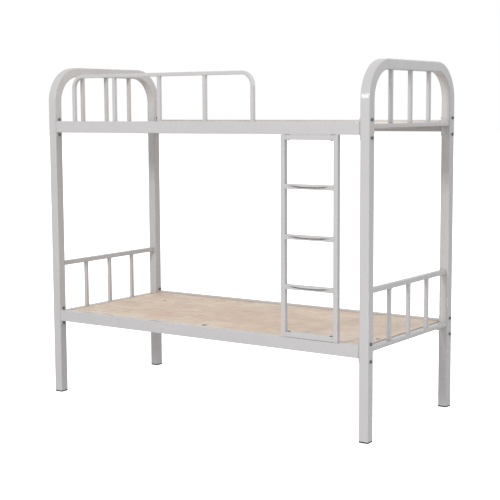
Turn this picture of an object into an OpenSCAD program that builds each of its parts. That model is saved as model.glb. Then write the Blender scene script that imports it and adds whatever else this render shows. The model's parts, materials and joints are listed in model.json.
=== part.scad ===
// Steel bunk bed: two bent end hoops, four bolted side rails, a fixed ladder,
// one guard rail and two lift-out plywood boards.
// X runs along the bed, the ladder side faces -Y, Z is up and the feet stand on Z = 0.

/* [Overall] */
// Length over the two end hoops
bed_l = 2000; // [1900:10:2200]
// Width over the side rails
bed_w = 900; // [800:10:1200]
// Height to the top of the end hoops
bed_h = 1800; // [1760:10:2000]

/* [End hoops] */
// Side of the square tube that each end hoop is bent from
post = 50; // [45:1:60]
// Wall of the end hoop tube
post_wall = 1.5; // [1:0.5:3]
// Outer corner radius of the end hoop tube
post_r = 4; // [4:1:6]
// Outer radius of the two bends of an end hoop
hoop_bend = 190; // [120:5:220]

/* [Side rails] */
// Height of a side rail
rail_h = 60; // [50:1:70]
// Thickness of a side rail, front to back
rail_d = 30; // [25:1:40]
// Underside of the lower side rails
lower_rail_z = 404; // [300:1:450]
// Underside of the upper side rails
upper_rail_z = 1448; // [1400:1:1460]
// Wall of the side rails, crossbars and light tubes
tube_wall = 1.5; // [1:0.5:2]

/* [End frames] */
// Cross rail tube, along the bed and in height
cross_size = [40, 20]; // [10:1:50]
// Drop from the top of a side rail to the top of a cross rail
cross_drop = 10; // [5:1:15]
// Side of the tube on top of the lower end guard
end_guard = 25; // [20:1:30]
// Top of the lower end guards
end_guard_z = 733; // [650:1:900]
// Side of the baluster tube
baluster = 19; // [15:1:22]
// Gap between balusters, centre to centre
baluster_pitch = 200; // [150:10:230]

/* [Guard rail] */
// Top of the front guard rail
guard_z = 1756; // [1700:1:1780]
// Side of the guard rail tube
guard_tube = 19; // [15:1:22]
// Outer radius of the guard rail bends
guard_bend = 75; // [40:5:90]
// Centre of the guard rail's first upright, from the middle of the bed
guard_start = -821; // [-850:1:-800]
// Gaps between the guard rail's five uprights, centre to centre
guard_gaps = [284, 301, 291, 290]; // [200:1:301]

/* [Ladder] */
// Side of the ladder tube
ladder_tube = 25; // [20:1:28]
// Width over the ladder's stiles
ladder_w = 320; // [280:5:400]
// Middle of the ladder, from the middle of the bed
ladder_x = 671.5; // [500:0.5:700]
// Height of the middle rung's centre
rung_mid_z = 955.5; // [900:0.5:1000]
// Gap between rungs, centre to centre
rung_pitch = 243.5; // [200:0.5:260]

/* [Bunk boards] */
// Thickness of a plywood board
board_t = 12; // [9:1:15]
// Drop from the top of a side rail to the top of a board
board_drop = 10; // [8:1:14]
// Gap between a board and the side rail on each side
board_gap = 2; // [2:0.5:4]
// Gap between a board's end and the end plates' faces
board_end_gap = 3; // [3:0.5:6]
// Crossbars under each board
crossbar_count = 5; // [5]
// Gap between crossbars, centre to centre
crossbar_pitch = 400; // [300:10:420]

/* [Fasteners] */
// Diameter of the bolts that hold the side rails to the end hoops
bolt_d = 8; // [6:1:10]
// Height of a bolt above the top of its side rail
bolt_above = 10; // [9:0.5:12]
// Depth of a bolt below the underside of its side rail
bolt_below = 13.5; // [10:0.5:15]
// Distance of the bolts from the outer face of the side rail
bolt_in = 23; // [20:1:26]
// Diameter of the ladder bolts
ladder_bolt_d = 6; // [5:1:8]

/* [Hidden] */
$fn = 48;

left = -1;
right = 1;
front = -1;
back = 1;
FRONT_BACK = [front, back];
LEFT_RIGHT = [left, right];

steel_grey = [0.80, 0.80, 0.81];
plywood_tan = [0.84, 0.77, 0.70];
plug_black = [0.10, 0.10, 0.11];
zinc_grey = [0.42, 0.42, 0.43];

// Feet
foot_flange = 7;
foot_skirt = 22;
foot_wall = 3;
foot_play = 0.4;

// Where things stand, from the driving sizes
post_x = bed_l / 2 - post / 2;
post_inner_x = bed_l / 2 - post;
post_inner_y = bed_w / 2 - post;
rail_y = bed_w / 2 - rail_d / 2;
lower_rail_top = lower_rail_z + rail_h;
upper_rail_top = upper_rail_z + rail_h;
light_r = 2.5;
light_wall = 1.2;

// End plates, welded on the ends of the side rails
plate_t = 4;
plate_w = 36;
plate_ear = 12;
plate_r = 5;
rail_l = bed_l - 2 * post - 2 * plate_t;

// Fasteners
bolt_hole = bolt_d + 1;
bolt_y = bed_w / 2 - bolt_in;
head_af = 13;
head_t = 5.3;
washer_d = 16;
washer_t = 1.6;
nut_t = 6.5;
bolt_tail = 3;
thread_play = 0.4;
ladder_head_af = 10;
ladder_head_t = 4;
rivet_d = 9;
rivet_flange_d = 13;
rivet_flange_t = 1;
rivet_l = 13;

// Ladder
stile_x = ladder_w / 2 - ladder_tube / 2;
rung_l = ladder_w - 2 * ladder_tube;
ladder_z0 = lower_rail_top + rivet_flange_t;
ladder_z1 = upper_rail_z - rivet_flange_t;
ladder_bolt_x = rung_l / 2 - 16;

// Guard rail
guard_end = guard_start + guard_gaps[0] + guard_gaps[1] + guard_gaps[2] + guard_gaps[3];
guard_upright_x = [
  guard_start + guard_gaps[0],
  guard_start + guard_gaps[0] + guard_gaps[1],
  guard_start + guard_gaps[0] + guard_gaps[1] + guard_gaps[2]
];

// ---- Shapes that repeat ----

// Square with round corners, centred
module rounded(w, h, r) {
  square([w - 2 * r, h], center = true);
  square([w, h - 2 * r], center = true);
  for (sx = LEFT_RIGHT, sy = FRONT_BACK) {
    translate([sx * (w / 2 - r), sy * (h / 2 - r)]) circle(r);
  }
}

// Section of a tube, centred
module tube_section(w, h, r, wall) {
  difference() {
    rounded(w, h, r);
    rounded(w - 2 * wall, h - 2 * wall, r - wall);
  }
}

// Upright tube that stands on z0 and reaches z1
module upright(x, y, z0, z1, side, r, wall) {
  translate([x, y, z0]) linear_extrude(z1 - z0) tube_section(side, side, r, wall);
}

// Tube along X, centred on x = 0
module tube_x(length, w, h, r, wall) {
  rotate([90, 0, 90]) translate([0, 0, -length / 2]) linear_extrude(length) {
    tube_section(w, h, r, wall);
  }
}

// Tube along Y, centred on y = 0
module tube_y(length, w, h, r, wall) {
  rotate([90, 0, 0]) translate([0, 0, -length / 2]) linear_extrude(length) {
    tube_section(w, h, r, wall);
  }
}

// One piece of square tube bent into an upside-down U in the XZ plane.
// Its legs start at z0, span is over the legs and top is the highest point.
module bent_tube(span, z0, top, side, r, wall, bend) {
  bend_x = span / 2 - bend;
  bend_z = top - bend;
  for (s = LEFT_RIGHT) {
    upright(s * (span / 2 - side / 2), 0, z0, bend_z, side, r, wall);
    translate([s * bend_x, 0, bend_z]) rotate([90, 0, 0]) {
      rotate([0, 0, s > 0 ? 0 : 90]) rotate_extrude(angle = 90) {
        translate([bend - side / 2, 0]) tube_section(side, side, r, wall);
      }
    }
  }
  translate([0, 0, top - side / 2]) tube_x(2 * bend_x, side, side, r, wall);
}

// Hexagon prism along X that starts at x = 0, flats up and down
module hex_x(af, length) {
  rotate([0, 90, 0]) cylinder(d = af / cos(30), h = length, $fn = 6);
}

// ---- End frames ----

// Heights of the four bolts in one leg
function bolt_heights() = [
  lower_rail_z - bolt_below, lower_rail_top + bolt_above,
  upper_rail_z - bolt_below, upper_rail_top + bolt_above
];

module end_hoop(side) {
  color(steel_grey) difference() {
    translate([side * post_x, 0, 0]) rotate([0, 0, 90]) {
      bent_tube(bed_w, foot_flange, bed_h, post, post_r, post_wall, hoop_bend);
    }
    for (y = FRONT_BACK, z = bolt_heights()) {
      translate([side * post_x - post, y * bolt_y, z]) rotate([0, 90, 0]) {
        cylinder(d = bolt_hole, h = 2 * post);
      }
    }
  }
}

module cross_rail(side, rail_top) {
  z = rail_top - cross_drop - cross_size[1] / 2;
  color(steel_grey) translate([side * post_x, 0, z]) {
    tube_y(2 * post_inner_y, cross_size[0], cross_size[1], light_r, tube_wall);
  }
}

module arch_baluster(side, place) {
  color(steel_grey) {
    upright(side * post_x, place * baluster_pitch, upper_rail_top - cross_drop,
            bed_h - post, baluster, light_r, light_wall);
  }
}

module end_guard_rail(side) {
  color(steel_grey) translate([side * post_x, 0, end_guard_z - end_guard / 2]) {
    tube_y(2 * post_inner_y, end_guard, end_guard, light_r, light_wall);
  }
}

module end_baluster(side, place) {
  color(steel_grey) {
    upright(side * post_x, place * baluster_pitch, lower_rail_top - cross_drop,
            end_guard_z - end_guard, baluster, light_r, light_wall);
  }
}

module foot(side, y) {
  inside = post - 2 * post_wall - foot_play;
  color(plug_black) translate([side * post_x, y * (bed_w / 2 - post / 2), 0]) {
    linear_extrude(foot_flange) rounded(post, post, post_r);
    translate([0, 0, foot_flange]) linear_extrude(foot_skirt) {
      tube_section(inside, inside, foot_wall + 0.5, foot_wall);
    }
  }
}

// ---- Side rails and decks ----

// The ladder's rivet nuts sit in holes in one face of each front rail
module side_rail(y, rail_z) {
  face_z = rail_z > bed_h / 2 ? rail_z : rail_z + rail_h;
  color(steel_grey) difference() {
    translate([0, y * rail_y, rail_z + rail_h / 2]) {
      tube_x(rail_l, rail_d, rail_h, light_r, tube_wall);
    }
    if (y == front) {
      for (s = LEFT_RIGHT) {
        translate([ladder_x + s * ladder_bolt_x, y * rail_y, face_z]) {
          cylinder(d = rivet_d, h = 4 * tube_wall, center = true);
        }
      }
    }
  }
}

module end_plates(y, rail_z) {
  z0 = rail_z - bolt_below - plate_ear;
  z1 = rail_z + rail_h + bolt_above + plate_ear;
  color(steel_grey) for (s = LEFT_RIGHT) {
    translate([s * (post_inner_x - plate_t / 2), y * bolt_y, 0]) difference() {
      translate([0, 0, (z0 + z1) / 2]) rotate([90, 0, 90]) linear_extrude(plate_t, center = true) {
        rounded(plate_w, z1 - z0, plate_r);
      }
      for (z = [rail_z - bolt_below, rail_z + rail_h + bolt_above]) {
        translate([0, 0, z]) rotate([0, 90, 0]) {
          cylinder(d = bolt_hole, h = 2 * plate_t, center = true);
        }
      }
    }
  }
}

module crossbar(number, rail_top) {
  x = (number - (crossbar_count + 1) / 2) * crossbar_pitch;
  z = rail_top - board_drop - board_t - cross_size[1] / 2;
  color(steel_grey) translate([x, 0, z]) {
    tube_y(bed_w - 2 * rail_d, cross_size[0], cross_size[1], light_r, tube_wall);
  }
}

module board(rail_top) {
  length = rail_l - 2 * board_end_gap;
  width = bed_w - 2 * rail_d - 2 * board_gap;
  color(plywood_tan) translate([-length / 2, -width / 2, rail_top - board_drop - board_t]) {
    cube([length, width, board_t]);
  }
}

// ---- Guard rail ----

module guard_hoop() {
  middle = (guard_start + guard_end) / 2;
  span = guard_end - guard_start + guard_tube;
  color(steel_grey) translate([middle, front * rail_y, 0]) {
    bent_tube(span, upper_rail_top, guard_z, guard_tube, light_r, light_wall, guard_bend);
  }
}

module guard_upright(number) {
  color(steel_grey) {
    upright(guard_upright_x[number], front * rail_y, upper_rail_top,
            guard_z - guard_tube, guard_tube, light_r, light_wall);
  }
}

// ---- Ladder ----

module ladder_stile(side) {
  color(steel_grey) {
    upright(ladder_x + side * stile_x, front * rail_y, ladder_z0, ladder_z1,
            ladder_tube, light_r, light_wall);
  }
}

module ladder_bar(z) {
  color(steel_grey) difference() {
    translate([ladder_x, front * rail_y, z]) {
      tube_x(rung_l, ladder_tube, ladder_tube, light_r, light_wall);
    }
    for (s = LEFT_RIGHT) {
      translate([ladder_x + s * ladder_bolt_x, front * rail_y, z]) {
        cylinder(d = ladder_bolt_d + 1, h = 2 * ladder_tube, center = true);
      }
    }
  }
}

// Half widths of a pressed rung at its top, its ridge and its underside
rung_top = 8;
rung_ridge = 14.9;
rung_under = 5.5;
rung_ridge_z = 1;
rung_plain = 5;
rung_taper = 90;

// Section of the rung where it is pressed, w smaller on every side
module pressed_section(w) {
  h = ladder_tube / 2 - w;
  polygon([
    [-rung_top + w, h], [-rung_ridge + w, rung_ridge_z], [-rung_under + w, -h],
    [rung_under - w, -h], [rung_ridge - w, rung_ridge_z], [rung_top - w, h]
  ]);
}

// Rung body along X, w smaller on every side than the outside of the rung
module rung_body(w) {
  skin = 0.01;
  side = ladder_tube - 2 * w;
  for (s = LEFT_RIGHT) {
    rotate([90, 0, 90]) translate([0, 0, s * (rung_l - rung_plain) / 2]) {
      linear_extrude(rung_plain, center = true) rounded(side, side, light_r - w);
    }
    hull() {
      rotate([90, 0, 90]) translate([0, 0, s * (rung_l / 2 - rung_plain)]) {
        linear_extrude(skin, center = true) rounded(side, side, light_r - w, $fn = 16);
      }
      rotate([90, 0, 90]) translate([0, 0, s * (rung_l / 2 - rung_plain - rung_taper)]) {
        linear_extrude(skin, center = true) pressed_section(w);
      }
    }
  }
  rotate([90, 0, 90]) linear_extrude(rung_l - 2 * rung_plain - 2 * rung_taper, center = true) {
    pressed_section(w);
  }
}

module rung(z) {
  color(steel_grey) translate([ladder_x, front * rail_y, z]) difference() {
    rung_body(0);
    rung_body(light_wall);
  }
}

// ---- Fasteners ----

module ladder_bolts() {
  shank = ladder_tube + rivet_flange_t + rivet_l - 2;
  color(zinc_grey) for (s = LEFT_RIGHT, low = [true, false]) {
    z = low ? ladder_z0 + ladder_tube : ladder_z1 - ladder_tube;
    translate([ladder_x + s * ladder_bolt_x, front * rail_y, z]) mirror([0, 0, low ? 0 : 1]) {
      cylinder(d = ladder_head_af / cos(30), h = ladder_head_t, $fn = 6);
      translate([0, 0, -shank]) cylinder(d = ladder_bolt_d, h = shank);
    }
  }
}

module ladder_rivet_nuts() {
  color(zinc_grey) for (s = LEFT_RIGHT, low = [true, false]) {
    z = low ? lower_rail_top : upper_rail_z;
    translate([ladder_x + s * ladder_bolt_x, front * rail_y, z]) mirror([0, 0, low ? 0 : 1]) {
      difference() {
        union() {
          cylinder(d = rivet_flange_d, h = rivet_flange_t);
          translate([0, 0, -rivet_l]) cylinder(d = rivet_d - 0.2, h = rivet_l);
        }
        cylinder(d = ladder_bolt_d + thread_play, h = 3 * rivet_l, center = true);
      }
    }
  }
}

// Puts its children at each of the sixteen frame bolts, turned so that +X points outward
module at_frame_bolts() {
  for (s = LEFT_RIGHT, y = FRONT_BACK, z = bolt_heights()) {
    translate([0, y * bolt_y, z]) rotate([0, 0, s > 0 ? 0 : 180]) children();
  }
}

module frame_bolts() {
  shank = washer_t + post + plate_t + nut_t + bolt_tail;
  color(zinc_grey) at_frame_bolts() translate([bed_l / 2 + washer_t, 0, 0]) {
    hex_x(head_af, head_t);
    translate([-shank, 0, 0]) rotate([0, 90, 0]) cylinder(d = bolt_d, h = shank);
  }
}

module frame_nuts() {
  color(zinc_grey) at_frame_bolts() translate([post_inner_x - plate_t - nut_t, 0, 0]) {
    difference() {
      hex_x(head_af, nut_t);
      rotate([0, 90, 0]) cylinder(d = bolt_d + thread_play, h = 4 * nut_t, center = true);
    }
  }
}

module frame_washers() {
  color(zinc_grey) at_frame_bolts() translate([bed_l / 2, 0, 0]) rotate([0, 90, 0]) {
    difference() {
      cylinder(d = washer_d, h = washer_t);
      cylinder(d = bolt_d + thread_play, h = 4 * washer_t, center = true);
    }
  }
}

// ---- The assembly ----

end_hoop(left);  // left_end_hoop
end_hoop(right);  // right_end_hoop
cross_rail(left, upper_rail_top);  // left_upper_cross_rail
cross_rail(right, upper_rail_top);  // right_upper_cross_rail
cross_rail(left, lower_rail_top);  // left_lower_cross_rail
cross_rail(right, lower_rail_top);  // right_lower_cross_rail
arch_baluster(left, front);  // left_arch_baluster_front
arch_baluster(left, 0);  // left_arch_baluster_middle
arch_baluster(left, back);  // left_arch_baluster_back
arch_baluster(right, front);  // right_arch_baluster_front
arch_baluster(right, 0);  // right_arch_baluster_middle
arch_baluster(right, back);  // right_arch_baluster_back
end_guard_rail(left);  // left_end_guard_rail
end_guard_rail(right);  // right_end_guard_rail
end_baluster(left, front);  // left_end_baluster_front
end_baluster(left, 0);  // left_end_baluster_middle
end_baluster(left, back);  // left_end_baluster_back
end_baluster(right, front);  // right_end_baluster_front
end_baluster(right, 0);  // right_end_baluster_middle
end_baluster(right, back);  // right_end_baluster_back
foot(left, front);  // front_left_foot
foot(right, front);  // front_right_foot
foot(left, back);  // back_left_foot
foot(right, back);  // back_right_foot
side_rail(front, upper_rail_z);  // front_upper_rail
side_rail(back, upper_rail_z);  // back_upper_rail
side_rail(front, lower_rail_z);  // front_lower_rail
side_rail(back, lower_rail_z);  // back_lower_rail
end_plates(front, upper_rail_z);  // front_upper_end_plates
end_plates(back, upper_rail_z);  // back_upper_end_plates
end_plates(front, lower_rail_z);  // front_lower_end_plates
end_plates(back, lower_rail_z);  // back_lower_end_plates
crossbar(1, upper_rail_top);  // upper_crossbar_1
crossbar(2, upper_rail_top);  // upper_crossbar_2
crossbar(3, upper_rail_top);  // upper_crossbar_3
crossbar(4, upper_rail_top);  // upper_crossbar_4
crossbar(5, upper_rail_top);  // upper_crossbar_5
crossbar(1, lower_rail_top);  // lower_crossbar_1
crossbar(2, lower_rail_top);  // lower_crossbar_2
crossbar(3, lower_rail_top);  // lower_crossbar_3
crossbar(4, lower_rail_top);  // lower_crossbar_4
crossbar(5, lower_rail_top);  // lower_crossbar_5
board(upper_rail_top);  // upper_board
board(lower_rail_top);  // lower_board
guard_hoop();
guard_upright(0);  // guard_upright_left
guard_upright(1);  // guard_upright_middle
guard_upright(2);  // guard_upright_right
ladder_stile(left);  // ladder_left_stile
ladder_stile(right);  // ladder_right_stile
ladder_bar(ladder_z1 - ladder_tube / 2);  // ladder_top_bar
ladder_bar(ladder_z0 + ladder_tube / 2);  // ladder_bottom_bar
rung(rung_mid_z + rung_pitch);  // ladder_top_rung
rung(rung_mid_z);  // ladder_middle_rung
rung(rung_mid_z - rung_pitch);  // ladder_bottom_rung
ladder_bolts();
ladder_rivet_nuts();
frame_bolts();
frame_nuts();
frame_washers();
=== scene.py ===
"""Looks for the steel bunk bed: enamelled square tube, plywood boards, plastic foot plugs, zinc bolts."""

import json
import math

import bmesh
import bpy
from mathutils import Matrix, Vector, kdtree, noise

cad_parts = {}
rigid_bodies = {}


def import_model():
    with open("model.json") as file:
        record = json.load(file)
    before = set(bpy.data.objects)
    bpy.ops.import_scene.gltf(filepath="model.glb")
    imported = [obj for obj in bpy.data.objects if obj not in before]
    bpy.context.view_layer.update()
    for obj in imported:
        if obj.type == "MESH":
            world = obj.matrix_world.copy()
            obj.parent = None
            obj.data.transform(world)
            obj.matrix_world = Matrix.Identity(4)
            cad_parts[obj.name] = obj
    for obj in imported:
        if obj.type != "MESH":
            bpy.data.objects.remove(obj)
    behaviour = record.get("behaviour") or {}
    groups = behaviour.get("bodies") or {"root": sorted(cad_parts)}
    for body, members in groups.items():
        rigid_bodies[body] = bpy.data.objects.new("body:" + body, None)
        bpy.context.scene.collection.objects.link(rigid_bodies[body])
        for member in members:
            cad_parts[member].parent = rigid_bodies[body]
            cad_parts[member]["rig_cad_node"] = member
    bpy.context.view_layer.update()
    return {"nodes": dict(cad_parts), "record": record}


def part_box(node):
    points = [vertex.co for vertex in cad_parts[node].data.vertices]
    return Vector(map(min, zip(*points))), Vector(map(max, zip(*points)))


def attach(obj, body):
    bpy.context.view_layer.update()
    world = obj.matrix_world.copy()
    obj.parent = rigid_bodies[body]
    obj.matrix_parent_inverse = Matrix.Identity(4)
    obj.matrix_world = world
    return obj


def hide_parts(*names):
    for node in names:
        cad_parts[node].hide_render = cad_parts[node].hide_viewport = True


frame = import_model()

MM = 0.001
LEFT, RIGHT, FRONT, BACK = -1, 1, -1, 1
STEP = 12 * MM  # distance between rings along a tube


# ---------------------------------------------------------------- camera

CAMERA_AT = (3.7269, -5.3752, 1.5709)
CAMERA_YAW = math.radians(34.56)
CAMERA_PITCH = math.radians(6.60)
CAMERA_ROLL = math.radians(-0.30)
CAMERA_LENS = 87.97
CAMERA_SENSOR = 36.0
CAMERA_CLIP = (0.05, 300)


def make_camera():
    data = bpy.data.cameras.new("camera")
    data.lens = CAMERA_LENS
    data.sensor_width = CAMERA_SENSOR
    data.clip_start, data.clip_end = CAMERA_CLIP
    camera = bpy.data.objects.new("camera", data)
    bpy.context.scene.collection.objects.link(camera)
    turn = Matrix.Rotation(CAMERA_YAW, 4, "Z") @ Matrix.Rotation(math.pi / 2 - CAMERA_PITCH, 4, "X")
    camera.matrix_world = Matrix.Translation(CAMERA_AT) @ turn @ Matrix.Rotation(CAMERA_ROLL, 4, "Z")
    bpy.context.scene.camera = camera


# ---------------------------------------------------------------- node materials

class Graph:
    """A material's node tree, with one method for each kind of node that the materials below use."""

    def __init__(self, name):
        self.material = bpy.data.materials.new(name)
        self.material.use_nodes = True
        self.tree = self.material.node_tree
        self.shader = self.tree.nodes["Principled BSDF"]
        self.place = self.node("ShaderNodeTexCoord").outputs["Object"]

    def node(self, kind, **settings):
        made = self.tree.nodes.new(kind)
        for key, value in settings.items():
            setattr(made, key, value)
        return made

    def put(self, value, socket):
        """Links an output to a socket, or sets the socket to a plain value."""
        if isinstance(value, bpy.types.NodeSocket):
            self.tree.links.new(value, socket)
        else:
            socket.default_value = value

    def stretch(self, scale):
        made = self.node("ShaderNodeMapping")
        self.put(self.place, made.inputs["Vector"])
        made.inputs["Scale"].default_value = scale
        return made.outputs["Vector"]

    def noise(self, scale, at=None, detail=2.0, rough=0.5, distortion=0.0):
        made = self.node("ShaderNodeTexNoise")
        self.put(at or self.place, made.inputs["Vector"])
        made.inputs["Scale"].default_value = scale
        made.inputs["Detail"].default_value = detail
        made.inputs["Roughness"].default_value = rough
        made.inputs["Distortion"].default_value = distortion
        return made.outputs["Fac"]

    def cells(self, scale):
        made = self.node("ShaderNodeTexVoronoi")
        self.put(self.place, made.inputs["Vector"])
        made.inputs["Scale"].default_value = scale
        return made.outputs["Distance"]

    def maths(self, operation, a, b=0.0):
        made = self.node("ShaderNodeMath", operation=operation)
        for value, socket in zip((a, b), made.inputs):
            self.put(value, socket)
        return made.outputs[0]

    def spread(self, value, low, high, to_low=0.0, to_high=1.0):
        """Maps low..high to to_low..to_high, smoothly and clamped."""
        made = self.node("ShaderNodeMapRange", interpolation_type="SMOOTHSTEP")
        for socket, number in zip(made.inputs, (value, low, high, to_low, to_high)):
            self.put(number, socket)
        return made.outputs["Result"]

    def mix(self, amount, a, b):
        made = self.node("ShaderNodeMix", data_type="RGBA")
        self.put(amount, made.inputs[0])
        for value, socket in ((a, made.inputs[6]), (b, made.inputs[7])):
            self.put(value if isinstance(value, bpy.types.NodeSocket) else (*value, 1.0), socket)
        return made.outputs[2]

    def vector_maths(self, operation, a, b=None):
        made = self.node("ShaderNodeVectorMath", operation=operation)
        self.put(a, made.inputs[0])
        if b is not None:
            made.inputs[1].default_value = b
        return made.outputs

    def split(self, vector):
        made = self.node("ShaderNodeSeparateXYZ")
        self.put(vector, made.inputs[0])
        return made.outputs

    def attribute(self, name):
        return self.node("ShaderNodeAttribute", attribute_name=name).outputs["Fac"]

    def bump(self, height, strength, distance, after=None):
        made = self.node("ShaderNodeBump")
        made.inputs["Strength"].default_value = strength
        made.inputs["Distance"].default_value = distance
        self.put(height, made.inputs["Height"])
        if after is not None:
            self.put(after, made.inputs["Normal"])
        return made.outputs["Normal"]

    def finish(self, colour, roughness, normal=None, **constants):
        self.put(colour, self.shader.inputs["Base Color"])
        self.put(roughness, self.shader.inputs["Roughness"])
        if normal is not None:
            self.put(normal, self.shader.inputs["Normal"])
        for key, value in constants.items():
            self.shader.inputs[key.replace("_", " ")].default_value = value
        return self.material


# Colours are linear
ENAMEL = (0.530, 0.520, 0.522)
ENAMEL_DULL = (0.480, 0.470, 0.468)
# Dirt and painted shade at the joints round the welds
ENAMEL_SOILED_AND_SHADED = (0.400, 0.380, 0.360)
# Painted shade in the fold under each rung's ridge
ENAMEL_FOLD_SHADE = (0.120, 0.115, 0.112)
PRIMER = (0.300, 0.290, 0.290)
VENEER = (0.775, 0.635, 0.515)
VENEER_PALE = (0.870, 0.765, 0.640)
VENEER_PINK = (0.790, 0.600, 0.500)
VENEER_GREY = (0.620, 0.520, 0.430)
VENEER_DARK = (0.540, 0.390, 0.290)
# Painted sheen towards the boards' +X ends
VENEER_PAINTED_SHEEN = (0.810, 0.725, 0.630)
KNOT = (0.070, 0.035, 0.020)
CORE_PLY = (0.400, 0.285, 0.195)
PLASTIC = (0.012, 0.012, 0.013)
PLASTIC_SCUFF = (0.040, 0.040, 0.040)
ZINC = (0.230, 0.230, 0.240)
ZINC_DARK = (0.110, 0.108, 0.105)


def enamel_material():
    """Sprayed stoving enamel: orange peel, slow drift, dirt and painted shade at welds, painted shade in the
    rungs' folds, worn corners.
    """
    g = Graph("grey_enamel")
    drift = g.noise(2.2, detail=3.0)
    cloud = g.noise(9.0, detail=2.0)
    tone = g.maths("ADD", g.maths("MULTIPLY", drift, 0.6), g.maths("MULTIPLY", cloud, 0.4))
    colour = g.mix(g.spread(tone, 0.30, 0.70, 0.0, 0.45), ENAMEL, ENAMEL_DULL)
    # Dirt and painted shade: the enamel darkens round the welds, in the joints where shade falls
    grime_and_shade = g.maths("MULTIPLY", g.attribute("near_weld"), g.spread(g.noise(170.0, detail=4.0), 0.35, 0.7))
    colour = g.mix(g.maths("MULTIPLY", grime_and_shade, 0.45), colour, ENAMEL_SOILED_AND_SHADED)
    # Painted shade: the fold under each rung's ridge faces down and is painted nearly black
    fold_shade = g.maths("MULTIPLY", g.attribute("fold_shade"), g.spread(g.noise(60.0, detail=3.0), 0.2, 0.6, 0.7, 0.95))
    colour = g.mix(fold_shade, colour, ENAMEL_FOLD_SHADE)
    rubbed = g.spread(g.noise(75.0, detail=5.0, rough=0.7), 0.64, 0.76)
    rubbed = g.maths("MULTIPLY", rubbed, g.spread(g.attribute("corner"), 0.45, 1.0))
    colour = g.mix(g.maths("MULTIPLY", rubbed, 0.5), colour, PRIMER)
    peel = g.noise(420.0, detail=1.0)
    ripple = g.noise(16.0, g.stretch((1.0, 1.0, 0.5)), detail=1.0)
    nibs = g.spread(g.cells(260.0), 0.0, 0.10, 1.0, 0.0)
    normal = g.bump(ripple, 0.25, 0.5 * MM)
    normal = g.bump(peel, 0.16, 0.10 * MM, normal)
    normal = g.bump(nibs, 0.12, 0.08 * MM, normal)
    roughness = g.maths("ADD", g.spread(cloud, 0.3, 0.75, 0.24, 0.36), g.maths("MULTIPLY", grime_and_shade, 0.3))
    return g.finish(colour, roughness, normal, Coat_Weight=0.55, Coat_Roughness=0.05, Coat_IOR=1.5)


# Knots on the veneer: board, then x, y, half length and half width in metres
KNOTS = (
    ("lower_board", -0.026, -0.348, 0.014, 0.014),
    ("lower_board", 0.915, -0.20, 0.012, 0.010),
    ("lower_board", -0.71, 0.18, 0.011, 0.007),
    ("upper_board", 0.31, 0.24, 0.011, 0.007),
    ("upper_board", -0.44, -0.17, 0.013, 0.009),
)
KNOT_DEPTH = 0.06  # half its depth, so that a knot shows on its own board only
RING_PHASE = 95.0  # radians per unit of the figure's height
PLIES = 5.0


def knot_field(g, board, x, y, length, width):
    """0 at a knot's middle and 1 at its rim, growing outward, on the top of one of the boards."""
    offset = g.vector_maths("SUBTRACT", g.place, (x, y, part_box(board)[1].z))["Vector"]
    scaled = g.vector_maths("MULTIPLY", offset, (1.0 / length, 1.0 / width, 1.0 / KNOT_DEPTH))["Vector"]
    return g.vector_maths("LENGTH", scaled)["Value"]


def veneer_flame(g):
    """Flame figure of rotary-cut veneer along X, whose lines bend round the knots: 0 to 1."""
    whirl = None
    for knot in KNOTS:
        pull = g.spread(knot_field(g, *knot), 1.0, 7.0, 1.0, 0.0)
        whirl = pull if whirl is None else g.maths("MAXIMUM", whirl, pull)
    wander = g.noise(1.0, g.stretch((1.3, 5.0, 1.0)), detail=3.0, rough=0.55)
    height = g.maths("ADD", wander, g.maths("MULTIPLY", whirl, 0.16))
    return g.spread(g.maths("SINE", g.maths("MULTIPLY", height, RING_PHASE)), -0.2, 1.0)


def veneer_patches(g):
    """The veneer's colour under its grain: pale, pink and grey patches, and a small mottle."""
    patch = g.noise(3.2, g.stretch((0.8, 1.4, 1.0)), detail=4.0, rough=0.6)
    blotch = g.noise(4.6, g.stretch((0.7, 1.5, 1.0)), detail=3.0, rough=0.55, distortion=0.6)
    smudge = g.noise(7.0, g.stretch((0.6, 1.3, 1.0)), detail=5.0, rough=0.65)
    mottle = g.noise(1.0, g.stretch((24.0, 13.0, 10.0)), detail=3.0, rough=0.6)
    colour = g.mix(g.spread(patch, 0.42, 0.58), VENEER, VENEER_PALE)
    colour = g.mix(g.spread(blotch, 0.46, 0.66, 0.0, 0.75), colour, VENEER_PINK)
    colour = g.mix(g.spread(smudge, 0.55, 0.74, 0.0, 0.55), colour, VENEER_GREY)
    colour = g.mix(g.spread(mottle, 0.50, 0.68, 0.0, 0.24), colour, VENEER_DARK)
    return g.mix(g.spread(mottle, 0.32, 0.48, 0.40, 0.0), colour, VENEER_PALE)


def veneer_flecks(g):
    """Short dark flecks along the grain, in some places only: 0 to 0.7."""
    fleck = g.noise(1.0, g.stretch((34.0, 110.0, 60.0)), detail=2.0)
    where = g.spread(g.noise(2.6, detail=2.0), 0.42, 0.62)
    return g.maths("MULTIPLY", g.spread(fleck, 0.57, 0.68, 0.0, 0.7), where)


def dark_plies(g):
    """1 on every second ply in a board's edges, and 0 on its faces."""
    plies = g.maths("PINGPONG", g.maths("MULTIPLY", g.attribute("depth"), PLIES), 1.0)
    upright = g.split(g.node("ShaderNodeNewGeometry").outputs["Normal"])["Z"]
    side = g.spread(g.maths("ABSOLUTE", upright), 0.3, 0.7, 1.0, 0.0)
    return g.maths("MULTIPLY", g.spread(plies, 0.42, 0.58), side)


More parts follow.
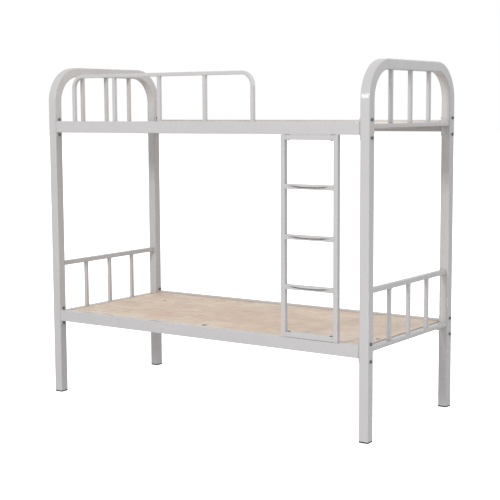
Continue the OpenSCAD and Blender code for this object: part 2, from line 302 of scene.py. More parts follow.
def plywood_material():
    """Veneer with patches, flame, pores and knots, with a painted sheen that makes it paler towards +X; plies
    show at the edges.
    """
    g = Graph("plywood")
    fibre = g.noise(1.0, g.stretch((26.0, 700.0, 60.0)), detail=4.0, rough=0.65)
    streak = g.noise(1.0, g.stretch((3.0, 60.0, 5.0)), detail=4.0, rough=0.6)
    colour = g.mix(g.maths("MULTIPLY", veneer_flame(g), 0.20), veneer_patches(g), VENEER_DARK)
    colour = g.mix(g.spread(streak, 0.50, 0.78, 0.0, 0.40), colour, VENEER_DARK)
    colour = g.mix(g.spread(fibre, 0.52, 0.80, 0.0, 0.30), colour, VENEER_DARK)
    # Painted sheen: the veneer turns paler and greyer towards +X, as a grazing reflection would make it
    colour = g.mix(g.spread(g.split(g.place)["X"], 0.2, 0.9, 0.0, 0.5), colour, VENEER_PAINTED_SHEEN)
    colour = g.mix(veneer_flecks(g), colour, VENEER_DARK)
    for knot in KNOTS:
        field = g.maths("ADD", knot_field(g, *knot), g.noise(90.0, detail=2.0))
        colour = g.mix(g.spread(field, 1.2, 1.9, 0.95, 0.0), colour, KNOT)
    colour = g.mix(g.maths("MULTIPLY", dark_plies(g), 0.75), colour, CORE_PLY)
    pores = g.bump(fibre, 0.35, 0.25 * MM)
    normal = g.bump(streak, 0.25, 0.5 * MM, pores)
    return g.finish(colour, g.spread(fibre, 0.3, 0.8, 0.55, 0.78), normal)


def plastic_material():
    """Moulded black plastic with a fine grain and pale scuffs."""
    g = Graph("black_plastic")
    grain = g.noise(1400.0, detail=2.0)
    scuff = g.spread(g.noise(210.0, detail=5.0, rough=0.7), 0.58, 0.72)
    colour = g.mix(g.maths("MULTIPLY", scuff, 0.5), PLASTIC, PLASTIC_SCUFF)
    return g.finish(colour, g.spread(grain, 0.3, 0.7, 0.42, 0.62), g.bump(grain, 0.3, 0.1 * MM))


def zinc_material():
    """Dull zinc plating with darker clouds and a fine drawn grain."""
    g = Graph("dark_zinc")
    cloud = g.noise(260.0, detail=4.0, rough=0.65)
    drawn = g.noise(1.0, g.stretch((150.0, 1800.0, 1800.0)), detail=2.0)
    colour = g.mix(g.spread(cloud, 0.35, 0.68), ZINC, ZINC_DARK)
    roughness = g.spread(cloud, 0.3, 0.7, 0.34, 0.58)
    return g.finish(colour, roughness, g.bump(drawn, 0.25, 0.06 * MM), Metallic=0.75)


SLOT_MATERIALS = {
    "grey_enamel": enamel_material(),
    "plywood": plywood_material(),
    "black_plastic": plastic_material(),
    "dark_zinc": zinc_material(),
}
NODE_SLOT = {part["node"]: part["material_slot"] for part in frame["record"]["subparts"]}
NODE_BODY = {node: body for body, nodes in frame["record"]["behaviour"]["bodies"].items() for node in nodes}


# ---------------------------------------------------------------- building blocks

weld_points = []  # every point along a weld, so that the paint near it can be dirtied and darkened with painted shade


def middle_and_size(node):
    low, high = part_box(node)
    return (low + high) / 2, high - low


def outline(width, height, radius, steps=5, shoulder=1.8 * MM):
    """A rounded rectangle about the origin, as (u, v, corner): corner is 1 on the round and 0 on the flat.

    A shoulder is the short flat between the end of a round and the next point, so that the flat shades flat.
    """
    points = []
    for quarter, (su, sv) in enumerate(((1, 1), (-1, 1), (-1, -1), (1, -1))):
        middle = Vector((su * (width / 2 - radius), sv * (height / 2 - radius)))
        for i in range(-1, steps + 2):
            angle = math.radians(90 * quarter + 90 * min(max(i, 0), steps) / steps)
            point = middle + radius * Vector((math.cos(angle), math.sin(angle)))
            along = Vector((-math.sin(angle), math.cos(angle)))
            if i < 0:
                point -= shoulder * along
            if i > steps:
                point += shoulder * along
            points.append((point.x, point.y, 1.0 if 0 <= i <= steps else 0.0))
    return points


def skin(bm, rings, corners=None, loop=False):
    """Joins rings of points into a tube, closed at both ends or in a loop."""
    layer = bm.verts.layers.float.get("corner") or bm.verts.layers.float.new("corner")
    rows = []
    for ring in rings:
        row = [bm.verts.new(point) for point in ring]
        for vert, value in zip(row, corners or [0.0] * len(row)):
            vert[layer] = value
        rows.append(row)
    for a, b in list(zip(rows, rows[1:])) + ([(rows[-1], rows[0])] if loop else []):
        for i in range(len(a)):
            j = (i + 1) % len(a)
            bm.faces.new((a[i], a[j], b[j], b[i]))
    if not loop:
        for row in (rows[0][::-1], rows[-1]):
            for edge in bm.faces.new(row).edges:
                edge.smooth = False


def make_piece(name, bm, slot, body="frame", replaces=()):
    """Turns a bmesh into an object that rides on a body and stands for its CAD nodes."""
    bmesh.ops.recalc_face_normals(bm, faces=bm.faces)
    for face in bm.faces:
        face.smooth = True
    mesh = bpy.data.meshes.new(name)
    bm.to_mesh(mesh)
    bm.free()
    mesh.materials.append(SLOT_MATERIALS[slot])
    made = bpy.data.objects.new(name, mesh)
    bpy.context.scene.collection.objects.link(made)
    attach(made, body)
    if replaces:
        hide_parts(*replaces)


def stations(low, high, step=STEP):
    count = max(2, round((high - low) / step))
    return [low + (high - low) * i / count for i in range(count + 1)]


def axes_of(size):
    """The longest axis of a tube and the two across it, in an order that keeps the rings right-handed."""
    long = max(range(3), key=lambda i: size[i])
    return long, (long + 1) % 3, (long + 2) % 3


HOOP_CORNER, LIGHT_CORNER = 4 * MM, 2.5 * MM  # outside corner radii of the posts and of the lighter tubes
HOOP_BEND, GUARD_BEND = 190 * MM, 75 * MM  # outside radii of the bends
PLATE_THICK, PLATE_CORNER = 4 * MM, 5 * MM  # the plates on the ends of the side rails
BEND_STEPS = 24
ROLL_WAVE, ROLL_WAVES_PER_METRE = 0.12 * MM, 9.0  # waviness of a rolled tube's walls
ROLL_SEED = (3.1, 2.3, 1.7)  # sets each tube's waves apart by where its middle is
BEND_PINCH = 1.3 * MM  # how far a bend's inner wall is drawn in
INNER_WALL = 0.45  # a point this share of the side from the middle lies on the inner wall


def straight_tube(node):
    """A straight tube in place of a CAD node, with the very slight waviness of a rolled section."""
    middle, size = middle_and_size(node)
    long, wide, up = axes_of(size)
    shape = outline(size[wide], size[up], LIGHT_CORNER)
    seed = Vector([value * spread for value, spread in zip(middle, ROLL_SEED)])
    rings = []
    for s in stations(-size[long] / 2, size[long] / 2):
        wave = ROLL_WAVE * noise.noise(seed + Vector((s * ROLL_WAVES_PER_METRE, 0, 0)))
        ring = []
        for u, v, _ in shape:
            point = [0.0, 0.0, 0.0]
            point[long] = middle[long] + s
            point[wide] = middle[wide] + u - abs(wave) * (1 if u > 0 else -1)
            point[up] = middle[up] + v - abs(wave) * (1 if v > 0 else -1)
            ring.append(point)
        rings.append(ring)
    bm = bmesh.new()
    skin(bm, rings, [corner for _, _, corner in shape])
    make_piece(node + "_tube", bm, NODE_SLOT[node], NODE_BODY[node], [node])


def arch_path(low, high, foot, top, inset, bend):
    """Centreline of an upside-down U, as (along the span, height, turn).

    The turn is 0 up the first leg and pi down the last.
    """
    low, high, top = low + inset, high - inset, top - inset
    radius = bend - inset
    path = [(low, z, 0.0) for z in stations(foot, top - radius)]
    for i in range(1, BEND_STEPS):
        turn = math.pi / 2 * i / BEND_STEPS
        path.append((low + radius * (1 - math.cos(turn)), top - radius * (1 - math.sin(turn)), turn))
    path += [(s, top, math.pi / 2) for s in stations(low + radius, high - radius)]
    for i in range(1, BEND_STEPS):
        turn = math.pi / 2 * i / BEND_STEPS
        s, z = high - radius * (1 - math.sin(turn)), top - radius * (1 - math.cos(turn))
        path.append((s, z, math.pi / 2 + turn))
    path += [(high, z, math.pi) for z in reversed(stations(foot, top - radius))]
    return path


def bent_tube(node, span_axis, bend, radius):
    """A tube bent into an upside-down U, with the inner wall of each bend drawn in a little."""
    low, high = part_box(node)
    thick = 1 - span_axis
    side = high[thick] - low[thick]
    shape = outline(side, side, radius)
    middle = (low[thick] + high[thick]) / 2
    rings = []
    for s, z, turn in arch_path(low[span_axis], high[span_axis], low.z, high.z, side / 2, bend):
        bent = math.sin(2 * turn) ** 2 if 0 < turn < math.pi else 0.0
        ring = []
        for u, v, _ in shape:
            if u > side * INNER_WALL:
                u -= BEND_PINCH * bent * math.cos(math.pi * v / side)
            point = [0.0, 0.0, 0.0]
            point[span_axis] = s + u * math.cos(turn)
            point[thick] = middle + v
            point[2] = z - u * math.sin(turn)
            ring.append(point)
        rings.append(ring)
    bm = bmesh.new()
    skin(bm, rings, [corner for _, _, corner in shape])
    make_piece(node + "_tube", bm, NODE_SLOT[node], NODE_BODY[node], [node])


# ---------------------------------------------------------------- ladder rungs

RUNG_PLAIN = 6 * MM  # left square at each end, where it is welded
RUNG_TAPER = 100 * MM  # from the square end to the full pressing
RUNG_HALF = 12.5 * MM
RUNG_TOP, RUNG_RIDGE, RUNG_WAIST, RUNG_UNDER = 7.6 * MM, 14.8 * MM, 6.6 * MM, 5.4 * MM  # half widths
RUNG_RIDGE_END, RUNG_RIDGE_Z = 9.0 * MM, 2.0 * MM  # the ridge sinks from the ends to the middle
RUNG_FOLD = 7.5 * MM  # from the ridge down to the waist
RIDGE_SHARE, WAIST_SHARE = 0.4, 0.7  # how far down the wall's points the ridge and the waist lie
FOLD_FROM, FOLD_TO, FOLD_SHADE_GAIN = 0.45, 0.75, 2.2  # the share of the wall that gets painted shade, and how soon the painted shade reaches full strength
RUNG_STEP = 4 * MM  # distance between rings along a rung
WALL_PARTS = 10
WALL_MARGIN = 3.5 * MM  # the corner and its shoulder, above and below the wall


def between(a, b, part):
    return a + (b - a) * part


def pressed_half_width(v, ridge):
    """Half width of the pressed rung at height v above its middle, with its ridge at the given height."""
    if v >= ridge:
        return between(RUNG_RIDGE, RUNG_TOP, (v - ridge) / (RUNG_HALF - ridge))
    waist = ridge - RUNG_FOLD
    if v >= waist:
        return between(RUNG_RIDGE, RUNG_WAIST, (ridge - v) / RUNG_FOLD)
    return between(RUNG_WAIST, RUNG_UNDER, (waist - v) / (waist + RUNG_HALF))


def wall_height(down, ridge, wall_half):
    """Height of a point that is the given share of the way down the wall."""
    if down <= RIDGE_SHARE:
        return between(wall_half, ridge, down / RIDGE_SHARE)
    if down <= WAIST_SHARE:
        return ridge - RUNG_FOLD * (down - RIDGE_SHARE) / (WAIST_SHARE - RIDGE_SHARE)
    return between(ridge - RUNG_FOLD, -wall_half, (down - WAIST_SHARE) / (1 - WAIST_SHARE))


def rung_outline():
    """Square outline as (u, v, corner, share of the way down the wall); the last is None off the walls."""
    shape = outline(2 * RUNG_HALF, 2 * RUNG_HALF, LIGHT_CORNER, steps=4, shoulder=1.0 * MM)
    points = []
    for i, (u, v, corner) in enumerate(shape):
        points.append((u, v, corner, None))
        after = shape[(i + 1) % len(shape)]
        on_wall = min(abs(u), abs(after[0])) > RUNG_HALF - 0.01 * MM
        if on_wall and u * after[0] > 0 and abs(v - after[1]) > 5 * MM:
            for k in range(1, WALL_PARTS):
                points.append((u, 0.0, 0.0, k / WALL_PARTS if v > 0 else 1 - k / WALL_PARTS))
    return points


def make_rung(node):
    """A square tube pressed in the middle: a slope to stand on, a ridge along it and a waist below."""
    middle, size = middle_and_size(node)
    wall_half = RUNG_HALF - WALL_MARGIN
    shape = rung_outline()
    rings, fold_shades = [], []
    for s in stations(-size.x / 2, size.x / 2, RUNG_STEP):
        part = min(max((size.x / 2 - abs(s) - RUNG_PLAIN) / RUNG_TAPER, 0.0), 1.0)
        part = part * part * (3 - 2 * part)
        ridge = between(RUNG_RIDGE_END, RUNG_RIDGE_Z, part)
        ring = []
        for u, v, _, down in shape:
            if down is not None:
                v = wall_height(down, ridge, wall_half)
            reach = pressed_half_width(v, ridge) * u / RUNG_HALF
            ring.append((middle.x + s, middle.y + between(u, reach, part), middle.z + v))
            in_fold = down is not None and FOLD_FROM < down < FOLD_TO
            fold_shades.append(min(FOLD_SHADE_GAIN * part, 1.0) if in_fold else 0.0)
        rings.append(ring)
    bm = bmesh.new()
    skin(bm, rings, [corner for _, _, corner, _ in shape])
    # Painted shade: the fold between the ridge and the waist gets a layer that darkens its enamel
    layer = bm.verts.layers.float.new("fold_shade")
    for vert, value in zip(bm.verts, fold_shades):
        vert[layer] = value
    make_piece(node + "_pressed", bm, "grey_enamel", "frame", [node])


# ---------------------------------------------------------------- welds

UP = Vector((0, 0, 1))
BEAD_SIDES = 7
PUDDLE = 1.3 * MM  # distance between points along a bead
RIPPLE, RIPPLE_TURN = 0.10, 1.9  # share of the radius, and radians from one point to the next
LUMPS, LUMPS_PER_METRE = 0.22, 160.0
BEAD_TIP = 0.35  # size of a bead at its two ends
HOOP_BEAD, RAIL_BEAD, PLATE_BEAD, NOTCH_BEAD = 2.3 * MM, 2.3 * MM, 2.3 * MM, 2.2 * MM  # radii
TUBE_BEAD, GUARD_BEAD, GUARD_FOOT_BEAD, CROSSBAR_BEAD = 1.9 * MM, 1.6 * MM, 1.8 * MM, 2.2 * MM
LADDER_BEAD, LADDER_SIDE_BEAD = 1.9 * MM, 1.5 * MM
PROUD, GUARD_PROUD = 0.4 * MM, 0.2 * MM  # how far the middle of a bead stands off the tube


def bead(bm, path, radius, loop):
    """A weld bead along a path of points, with the ripples of each puddle."""
    count = len(path)
    rings = []
    for i, point in enumerate(path):
        before = path[(i - 1) % count] if loop or i else point
        after = path[(i + 1) % count] if loop or i < count - 1 else point
        along = (after - before).normalized()
        side = (along.orthogonal() if abs(along.z) > 0.9 else along.cross(UP)).normalized()
        lift = side.cross(along)
        ripple = RIPPLE * math.sin(i * RIPPLE_TURN)
        size = radius * (1 + ripple + LUMPS * noise.noise(point * LUMPS_PER_METRE))
        if not loop and i in (0, count - 1):
            size *= BEAD_TIP
        rings.append([point + size * (math.cos(a) * side + math.sin(a) * lift)
                      for a in (math.tau * k / BEAD_SIDES for k in range(BEAD_SIDES))])
        weld_points.append(point)
    skin(bm, rings, loop=loop)


def bead_between(bm, start, end, radius):
    start, end = Vector(start), Vector(end)
    count = max(4, int((end - start).length / PUDDLE))
    bead(bm, [start.lerp(end, i / count) for i in range(count + 1)], radius, loop=False)


def bead_round_end(bm, node, long, side, radius=TUBE_BEAD, proud=PROUD):
    """A weld all round one end of a tube, in the corner between it and the face that it stands on."""
    low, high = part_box(node)
    wide, up = (long + 1) % 3, (long + 2) % 3
    plane = (high if side > 0 else low)[long] - side * PROUD
    middle = (low + high) / 2
    half_u = (high - low)[wide] / 2 + proud
    half_v = (high - low)[up] / 2 + proud
    corners = outline(2 * half_u, 2 * half_v, LIGHT_CORNER, steps=3, shoulder=0.0)
    path = []
    for (u, v, _), (u2, v2, _) in zip(corners, corners[1:] + corners[:1]):
        length = math.hypot(u2 - u, v2 - v)
        count = max(1, int(length / PUDDLE)) if length > 0.1 * MM else 0
        for k in range(count):
            t = k / count
            point = [0.0, 0.0, 0.0]
            point[long] = plane
            point[wide] = middle[wide] + u + (u2 - u) * t
            point[up] = middle[up] + v + (v2 - v) * t
            path.append(Vector(point))
    bead(bm, path, radius, loop=True)


def weld_end_frames():
    for side in ("left", "right"):
        bm = bmesh.new()
        for node in (side + "_upper_cross_rail", side + "_lower_cross_rail", side + "_end_guard_rail"):
            for end in (FRONT, BACK):
                bead_round_end(bm, node, 1, end, HOOP_BEAD)
        for place in ("front", "middle", "back"):
            for kind in ("arch", "end"):
                for end in (-1, 1):
                    bead_round_end(bm, f"{side}_{kind}_baluster_{place}", 2, end)
        make_piece(side + "_end_welds", bm, "grey_enamel")


def bead_under_crossbar(bm, node, side):
    """A weld on the sides and the bottom of a crossbar's end. A board lies on its top, which stays free."""
    low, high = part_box(node)
    y = (high if side > 0 else low).y - side * PROUD
    left, right = low.x - PROUD, high.x + PROUD
    bottom, top = low.z - PROUD, high.z - 1.3 * CROSSBAR_BEAD
    corners = [Vector((x, y, z)) for x, z in ((left, top), (left, bottom), (right, bottom), (right, top))]
    path = []
    for start, end in zip(corners, corners[1:]):
        count = int((end - start).length / PUDDLE)
        path += [start.lerp(end, i / count) for i in range(count)]
    bead(bm, path + corners[-1:], CROSSBAR_BEAD, loop=False)


def weld_crossbars():
    for level in ("upper", "lower"):
        bm = bmesh.new()
        for number in range(1, 6):
            for end in (FRONT, BACK):
                bead_under_crossbar(bm, f"{level}_crossbar_{number}", end)
        make_piece(level + "_crossbar_welds", bm, "grey_enamel")


def weld_guard_rail():
    bm = bmesh.new()
    for place in ("left", "middle", "right"):
        for end in (-1, 1):
            bead_round_end(bm, "guard_upright_" + place, 2, end, GUARD_BEAD, GUARD_PROUD)
    low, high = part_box("guard_hoop")
    side = high.y - low.y
    for x in (low.x + side / 2, high.x - side / 2):
        square = outline(side + 0.6 * MM, side + 0.6 * MM, LIGHT_CORNER, steps=3, shoulder=0.0)
        for (u, v, _), (u2, v2, _) in zip(square, square[1:] + square[:1]):
            if math.hypot(u2 - u, v2 - v) > 5 * MM:
                y = (low.y + high.y) / 2
                z = low.z + 0.5 * MM
                bead_between(bm, (x + u, y + v, z), (x + u2, y + v2, z), GUARD_FOOT_BEAD)
    make_piece("guard_rail_welds", bm, "grey_enamel")


def weld_ladder():
    bm = bmesh.new()
    for part in ("top_bar", "bottom_bar", "top_rung", "middle_rung", "bottom_rung"):
        low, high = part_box("ladder_" + part)
        middle_y = (low.y + high.y) / 2
        front, back = middle_y - RUNG_HALF, middle_y + RUNG_HALF
        for x, side in ((low.x, 1), (high.x, -1)):
            x_off = x + side * 0.5 * MM
            for z, lift in ((high.z, 1), (low.z, -1)):
                z_off = z + lift * 0.5 * MM
                bead_between(bm, (x_off, front + 2 * MM, z_off), (x_off, back - 2 * MM, z_off), LADDER_BEAD)
            for y in (front + 0.9 * MM, back - 0.9 * MM):
                bead_between(bm, (x, y, low.z + 2 * MM), (x, y, high.z - 2 * MM), LADDER_SIDE_BEAD)
    make_piece("ladder_welds", bm, "grey_enamel")


PLATE_WELD = 24 * MM  # how far the welds above and below a side rail run out from its inner face
NOTCH_WELD = 3.1 * MM  # depth of the bead in the notch between a rail and the post, from the rail's face


def weld_end_plates():
    bm = bmesh.new()
    for front in ("front", "back"):
        for level in ("upper", "lower"):
            low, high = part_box(f"{front}_{level}_rail")
            sign = FRONT if front == "front" else BACK
            inner = low.y if sign == BACK else high.y
            outer = inner + sign * PLATE_WELD
            face = high.y if sign == BACK else low.y
            for x, side in ((low.x, 1), (high.x, -1)):
                notch = (x - side * PLATE_THICK / 2, face - sign * NOTCH_WELD)
                bead_between(bm, (*notch, low.z + 1 * MM), (*notch, high.z - 1 * MM), NOTCH_BEAD)
                x += side * 0.5 * MM
                for z, lift in ((high.z, 1), (low.z, -1)):
                    z += lift * 0.6 * MM
                    bead_between(bm, (x, inner, z), (x, outer, z), RAIL_BEAD)
                y = inner - sign * 0.6 * MM
                bead_between(bm, (x, y, low.z + 1 * MM), (x, y, high.z - 1 * MM), PLATE_BEAD)
    make_piece("side_rail_welds", bm, "grey_enamel")


# ---------------------------------------------------------------- fasteners

BOLT_IN_EAR = 12 * MM  # from the end of an end plate to its bolt
M8_DIAMETER, M8_PITCH, M8_FLATS, M8_NUT = 8 * MM, 1.25 * MM, 13 * MM, 6.5 * MM
M6_FLATS, M6_HEAD = 10 * MM, 4 * MM
BOLT_PAST_NUT = 3 * MM  # bolt tip beyond the nut
THREAD_START = 1 * MM  # inside the nut
WASHER_PROFILE = [(0.0, 7.7), (0.3, 8.0), (1.3, 8.0), (1.6, 7.7)]  # height and radius in millimetres
WASHER_THICK = WASHER_PROFILE[-1][0] * MM
FLANGE_PROFILE = [(0.0, 6.4), (0.15, 6.5), (0.85, 6.5), (1.0, 6.4)]
CHAMFER_DEPTHS = [0.0, 0.25 * MM, 0.5 * MM, 0.75 * MM, 1.05 * MM]
THREAD_DEPTH, THREAD_SIDES = 0.35 * MM, 24
TIP_CHAMFER, TIP_SHARE = 0.9 * MM, 0.84  # length of a bolt tip's chamfer, and its radius at the end
CHAMFER_ANGLE = math.radians(30)
CHAMFER_CIRCLE = 0.95  # diameter of a head's chamfer circle, as a share of the width across its flats
DISH_SHARE, M8_DISH, M6_DISH = 0.72, 0.35 * MM, 0.3 * MM  # width and depths of the hollow in a bolt's head


def across(axis):
    """Two directions that are square to an axis."""
    side = UP if abs(axis.z) < 0.5 else Vector((1, 0, 0))
    return side, axis.cross(side)


def hexagon_reach(angle, across_flats):
    """Distance from a hexagon's middle to its edge, at an angle from one of its flats' normals."""
    part = (angle + math.pi / 6) % (math.pi / 3) - math.pi / 6
    return across_flats / 2 / math.cos(part)


def turned_ring(at, axis, height, reach, count=36):
    """A ring round an axis at a height along it; reach(angle) is its radius."""
    side, lift = across(axis)
    angles = [math.tau * k / count for k in range(count)]
    return [at + height * axis + reach(a) * (math.cos(a) * side + math.sin(a) * lift) for a in angles]


def disc(bm, at, axis, profile):
    """A thin round washer or flange, turned from a profile."""
    skin(bm, [turned_ring(Vector(at), axis, h * MM, lambda a, r=r: r * MM) for h, r in profile])


def hexagon(bm, at, axis, across_flats, height, chamfer_both=False, dish=0.0):
    """A hexagon head or nut with its corners chamfered off at 30 degrees."""
    axis = Vector(axis)
    at = Vector(at)
    flat = across_flats / 2 * CHAMFER_CIRCLE

    def trimmed(depth):
        return lambda a: min(hexagon_reach(a, across_flats), flat + depth / math.tan(CHAMFER_ANGLE))

    if chamfer_both:
        rings = [turned_ring(at, axis, d, trimmed(d)) for d in CHAMFER_DEPTHS]
    else:
        rings = [turned_ring(at, axis, 0.0, lambda a: hexagon_reach(a, across_flats))]
    rings += [turned_ring(at, axis, height - d, trimmed(d)) for d in reversed(CHAMFER_DEPTHS)]
    if dish:
        rings.append(turned_ring(at, axis, height - dish, lambda a: flat * DISH_SHARE))
    skin(bm, rings)


def threaded(bm, at, axis, diameter, length, pitch):
    """The end of a bolt, with a helical thread and a small chamfer at its tip."""
    at = Vector(at)
    rings = []
    for height in stations(0.0, length, pitch / 7):
        tip = min(1.0, TIP_SHARE + (1 - TIP_SHARE) * (length - height) / TIP_CHAMFER)

        def reach(a, height=height, tip=tip):
            phase = (height / pitch - a / math.tau) % 1.0
            return (diameter / 2 - THREAD_DEPTH * (0.5 - 0.5 * math.cos(math.tau * phase))) * tip

        rings.append(turned_ring(at, axis, height, reach, THREAD_SIDES))
    skin(bm, rings)


def frame_bolt_places():
    """(end of the bed, y, z) of each bolt, read from the CAD end plates."""
    places = []
    for front in ("front", "back"):
        for level in ("upper", "lower"):
            low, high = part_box(f"{front}_{level}_end_plates")
            y = (low.y + high.y) / 2
            for z in (low.z + BOLT_IN_EAR, high.z - BOLT_IN_EAR):
                places += [(end, y, z) for end in (LEFT, RIGHT)]
    return places


def make_frame_fasteners():
    bolts, nuts, washers = bmesh.new(), bmesh.new(), bmesh.new()
    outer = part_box("right_end_hoop")[1].x
    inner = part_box("front_upper_end_plates")[1].x - PLATE_THICK
    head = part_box("frame_bolts")[1].x - outer - WASHER_THICK
    start = inner - THREAD_START
    length = M8_NUT + BOLT_PAST_NUT - THREAD_START
    for end, y, z in frame_bolt_places():
        axis = Vector((end, 0, 0))
        hexagon(bolts, (end * (outer + WASHER_THICK), y, z), axis, M8_FLATS, head, dish=M8_DISH)
        threaded(bolts, (end * start, y, z), -axis, M8_DIAMETER, length, M8_PITCH)
        hexagon(nuts, (end * inner, y, z), -axis, M8_FLATS, M8_NUT, chamfer_both=True)
        disc(washers, (end * outer, y, z), axis, WASHER_PROFILE)
    make_piece("frame_bolts_m8", bolts, "dark_zinc", replaces=["frame_bolts"])
    make_piece("frame_nuts_m8", nuts, "dark_zinc", replaces=["frame_nuts"])
    make_piece("frame_washers_m8", washers, "dark_zinc", replaces=["frame_washers"])


def make_ladder_fasteners():
    """The ladder's two top bolts were sprayed with the frame; the two at its bottom are bare."""
    sprayed, bolts, nuts = bmesh.new(), bmesh.new(), bmesh.new()
    low_bar, top_bar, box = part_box("ladder_bottom_bar"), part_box("ladder_top_bar"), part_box("ladder_bolts")
    y = (low_bar[0].y + low_bar[1].y) / 2
    half_head = hexagon_reach(math.pi / 6, M6_FLATS)
    for x in (box[0].x + half_head, box[1].x - half_head):
        hexagon(bolts, (x, y, low_bar[1].z), UP, M6_FLATS, M6_HEAD, dish=M6_DISH)
        hexagon(sprayed, (x, y, top_bar[0].z), -UP, M6_FLATS, M6_HEAD, dish=M6_DISH)
        disc(nuts, (x, y, low_bar[0].z), -UP, FLANGE_PROFILE)
        disc(nuts, (x, y, top_bar[1].z), UP, FLANGE_PROFILE)
    make_piece("ladder_bolts_m6_sprayed", sprayed, "grey_enamel", replaces=["ladder_bolts"])
    make_piece("ladder_bolts_m6", bolts, "dark_zinc", replaces=["ladder_bolts"])
    make_piece("ladder_rivet_nut_flanges", nuts, "dark_zinc", replaces=["ladder_rivet_nuts"])


# ---------------------------------------------------------------- boards, plates and feet

BOARD_EDGE = 0.9 * MM  # radius
BOARD_WAVE, BOARD_STEP = 0.25 * MM, 30 * MM
PLATE_EDGE, FLANGE_EDGE, SKIRT_EDGE = 0.6 * MM, 0.5 * MM, 0.6 * MM
SKIRT_SIDE, SKIRT_CORNER = 46.4 * MM, 3 * MM


def make_board(node):
    """A plywood board with eased edges and the slight waviness of thin ply; depth runs through its plies."""
    middle, size = middle_and_size(node)
    shape = outline(size.y, size.z, BOARD_EDGE, steps=3, shoulder=1.5 * MM)
    rings = []
    for x in stations(-size.x / 2, size.x / 2, BOARD_STEP):
        wave = BOARD_WAVE * noise.noise(Vector((x * 3.0, middle.z * 9, 0.0)))
        rings.append([middle + Vector((x, u + wave * (1 if u < 0 else -1), v)) for u, v, _ in shape])
    bm = bmesh.new()
    skin(bm, rings, [corner for _, _, corner in shape])
    depth = bm.verts.layers.float.new("depth")
    for vert in bm.verts:
        vert[depth] = (vert.co.z - middle.z) / size.z + 0.5
    make_piece(node + "_plywood", bm, "plywood", NODE_BODY[node], [node])


def rounded_slab(bm, middle, size, thin, radius, edge):
    """A plate with round corners and eased edges; thin is the axis through it."""
    wide, up = (thin + 1) % 3, (thin + 2) % 3
    rings = []
    for depth, inset in ((0.0, edge), (edge * 0.3, edge * 0.3), (edge, 0.0),
                         (size[thin] - edge, 0.0), (size[thin] - edge * 0.3, edge * 0.3), (size[thin], edge)):
        width, height = size[wide] - 2 * inset, size[up] - 2 * inset
        shape = outline(width, height, radius - inset, steps=5, shoulder=1.0 * MM)
        ring = []
        for u, v, _ in shape:
            point = [0.0, 0.0, 0.0]
            point[thin] = middle[thin] - size[thin] / 2 + depth
            point[wide] = middle[wide] + u
            point[up] = middle[up] + v
            ring.append(point)
        rings.append(ring)
    skin(bm, rings)


def make_end_plates(node):
    low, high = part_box(node)
    bm = bmesh.new()
    for end in (LEFT, RIGHT):
        x = (low.x if end == LEFT else high.x) - end * PLATE_THICK / 2
        middle = Vector((x, (low.y + high.y) / 2, (low.z + high.z) / 2))
        size = Vector((PLATE_THICK, high.y - low.y, high.z - low.z))
        rounded_slab(bm, middle, size, 0, PLATE_CORNER, PLATE_EDGE)
    make_piece(node + "_steel", bm, "grey_enamel", replaces=[node])


def make_foot(node):
    """A plug: an eased flange under the leg and the skirt that grips inside it."""
    low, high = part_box(node)
    middle = (low + high) / 2
    flange = Vector((high.x - low.x, high.y - low.y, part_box("left_end_hoop")[0].z - low.z))
    skirt = Vector((SKIRT_SIDE, SKIRT_SIDE, high.z - low.z - flange.z))
    bm = bmesh.new()
    flange_at = Vector((middle.x, middle.y, low.z + flange.z / 2))
    skirt_at = Vector((middle.x, middle.y, high.z - skirt.z / 2))
    rounded_slab(bm, flange_at, flange, 2, HOOP_CORNER, FLANGE_EDGE)
    rounded_slab(bm, skirt_at, skirt, 2, SKIRT_CORNER, SKIRT_EDGE)
    make_piece(node + "_plug", bm, "black_plastic", replaces=[node])


# ---------------------------------------------------------------- paint that knows where the welds are

DIRT_AND_SHADE_REACH = 9 * MM  # the distance at which the dirt and painted shade round a weld have faded to a third


def dirt_and_shade_near_welds():
    """Gives each enamelled piece a layer that is 1 at a weld and fades away from it; the enamel darkens with
    it, as dirt and painted shade.
    """
    tree = kdtree.KDTree(len(weld_points))
    for i, point in enumerate(weld_points):
        tree.insert(point, i)
    tree.balance()
    enamel = SLOT_MATERIALS["grey_enamel"]
    for piece in bpy.data.objects:
        if piece.type != "MESH" or enamel.name not in piece.data.materials or "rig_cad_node" in piece:
            continue
        layer = piece.data.attributes.new("near_weld", "FLOAT", "POINT")
        values = [math.exp(-tree.find(vert.co)[2] / DIRT_AND_SHADE_REACH) for vert in piece.data.vertices]
        layer.data.foreach_set("value", values)


# ---------------------------------------------------------------- studio

FLOOR_SEEN = (0.90, 0.90, 0.90)
FLOOR_BOUNCE = (0.15, 0.15, 0.15)  # what the floor gives back to the bed, so that undersides stay dark
FLOOR_GLOW, FLOOR_GLOW_SEEN = 0.36, 0.95
FLOOR_RADIUS, FLOOR_DROP = 70.0, 0.0005


def stage_material():
    """A pale floor, white to the eye and greyer to the light that it throws back up."""
    g = Graph("floor_white")
    seen = g.node("ShaderNodeLightPath").outputs["Is Camera Ray"]
    mottle = g.spread(g.noise(3.0, detail=4.0), 0.3, 0.7, 0.0, 0.3)
    pale = g.mix(mottle, FLOOR_SEEN, tuple(c * 0.985 for c in FLOOR_SEEN))
    g.shader.inputs["Emission Color"].default_value = (1, 1, 1, 1)
    g.put(g.spread(seen, 0.0, 1.0, FLOOR_GLOW, FLOOR_GLOW_SEEN), g.shader.inputs["Emission Strength"])
    return g.finish(g.mix(seen, FLOOR_BOUNCE, pale), 0.9)


def make_floor():
    bm = bmesh.new()
    bmesh.ops.create_circle(bm, cap_ends=True, radius=FLOOR_RADIUS, segments=64)
    mesh = bpy.data.meshes.new("floor")
    bm.to_mesh(mesh)
    bm.free()
    mesh.materials.append(stage_material())
    floor = bpy.data.objects.new("floor", mesh)
    bpy.context.scene.collection.objects.link(floor)
    floor.location.z = -FLOOR_DROP


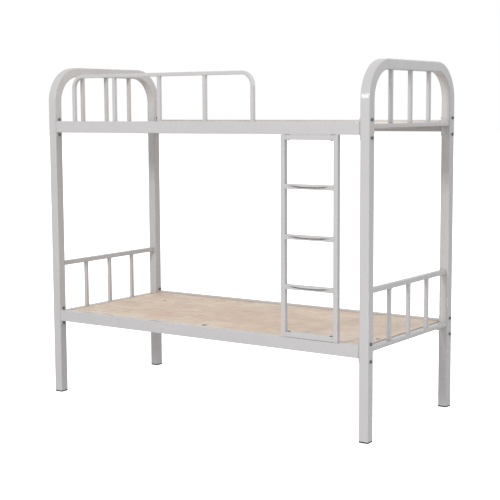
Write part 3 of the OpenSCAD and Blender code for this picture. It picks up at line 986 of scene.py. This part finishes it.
def area_light(name, at, towards, size, power, colour=(1, 1, 1)):
    data = bpy.data.lights.new(name, "AREA")
    data.shape = "RECTANGLE"
    data.size, data.size_y = size
    data.energy = power
    data.color = colour
    light = bpy.data.objects.new(name, data)
    bpy.context.scene.collection.objects.link(light)
    light.location = at
    light.rotation_euler = (Vector(towards) - Vector(at)).to_track_quat("-Z", "Y").to_euler()
    return light


WORLD_LIGHT = 0.82


def make_world():
    world = bpy.data.worlds.new("studio")
    bpy.context.scene.world = world
    world.use_nodes = True
    nodes, links = world.node_tree.nodes, world.node_tree.links
    background = nodes["Background"]
    rays = nodes.new("ShaderNodeLightPath")
    seen = nodes.new("ShaderNodeMapRange")
    links.new(rays.outputs["Is Camera Ray"], seen.inputs["Value"])
    seen.inputs["To Min"].default_value = WORLD_LIGHT
    seen.inputs["To Max"].default_value = 1.0
    links.new(seen.outputs["Result"], background.inputs["Strength"])
    background.inputs["Color"].default_value = (1, 1, 1, 1)


def make_lights():
    area_light("key", (0.2, -7.0, 3.47), (0, 0, 0.9), (0.7, 1.05), 205, (1.0, 0.99, 0.98))
    area_light("back right", (4.2, 6.5, 2.9), (1.0, 0, 1.6), (3.0, 1.4), 22)
    area_light("low right", (2.9, -1.6, 0.22), (1.0, 0.1, 0.08), (1.2, 0.3), 11)
    upper = area_light("upper left", (0.9, 0.0, 2.3), (-1.0, 0.0, 1.65), (0.6, 0.5), 4)
    upper.visible_camera = False
    area_light("strip", (-2.70, -7.0, 2.9), (1.0, -0.4, 1.6), (0.32, 1.4), 16)


# ---------------------------------------------------------------- the bed

def make_bed():
    for side in ("left", "right"):
        bent_tube(side + "_end_hoop", 1, HOOP_BEND, HOOP_CORNER)
    bent_tube("guard_hoop", 0, GUARD_BEND, LIGHT_CORNER)
    for node in sorted(frame["nodes"]):
        plain = node.endswith(("_rail", "_stile", "_bar")) or "_baluster_" in node
        if plain or node.startswith(("guard_upright", "upper_crossbar", "lower_crossbar")):
            straight_tube(node)
        elif node.endswith("_rung"):
            make_rung(node)
        elif node.endswith("_board"):
            make_board(node)
        elif node.endswith("_foot"):
            make_foot(node)
        elif node.endswith("_end_plates"):
            make_end_plates(node)
    make_frame_fasteners()
    make_ladder_fasteners()
    weld_end_frames()
    weld_crossbars()
    weld_guard_rail()
    weld_ladder()
    weld_end_plates()
    dirt_and_shade_near_welds()


make_camera()
make_bed()
make_floor()
make_world()
make_lights()
bpy.context.scene.view_settings.view_transform = "Standard"
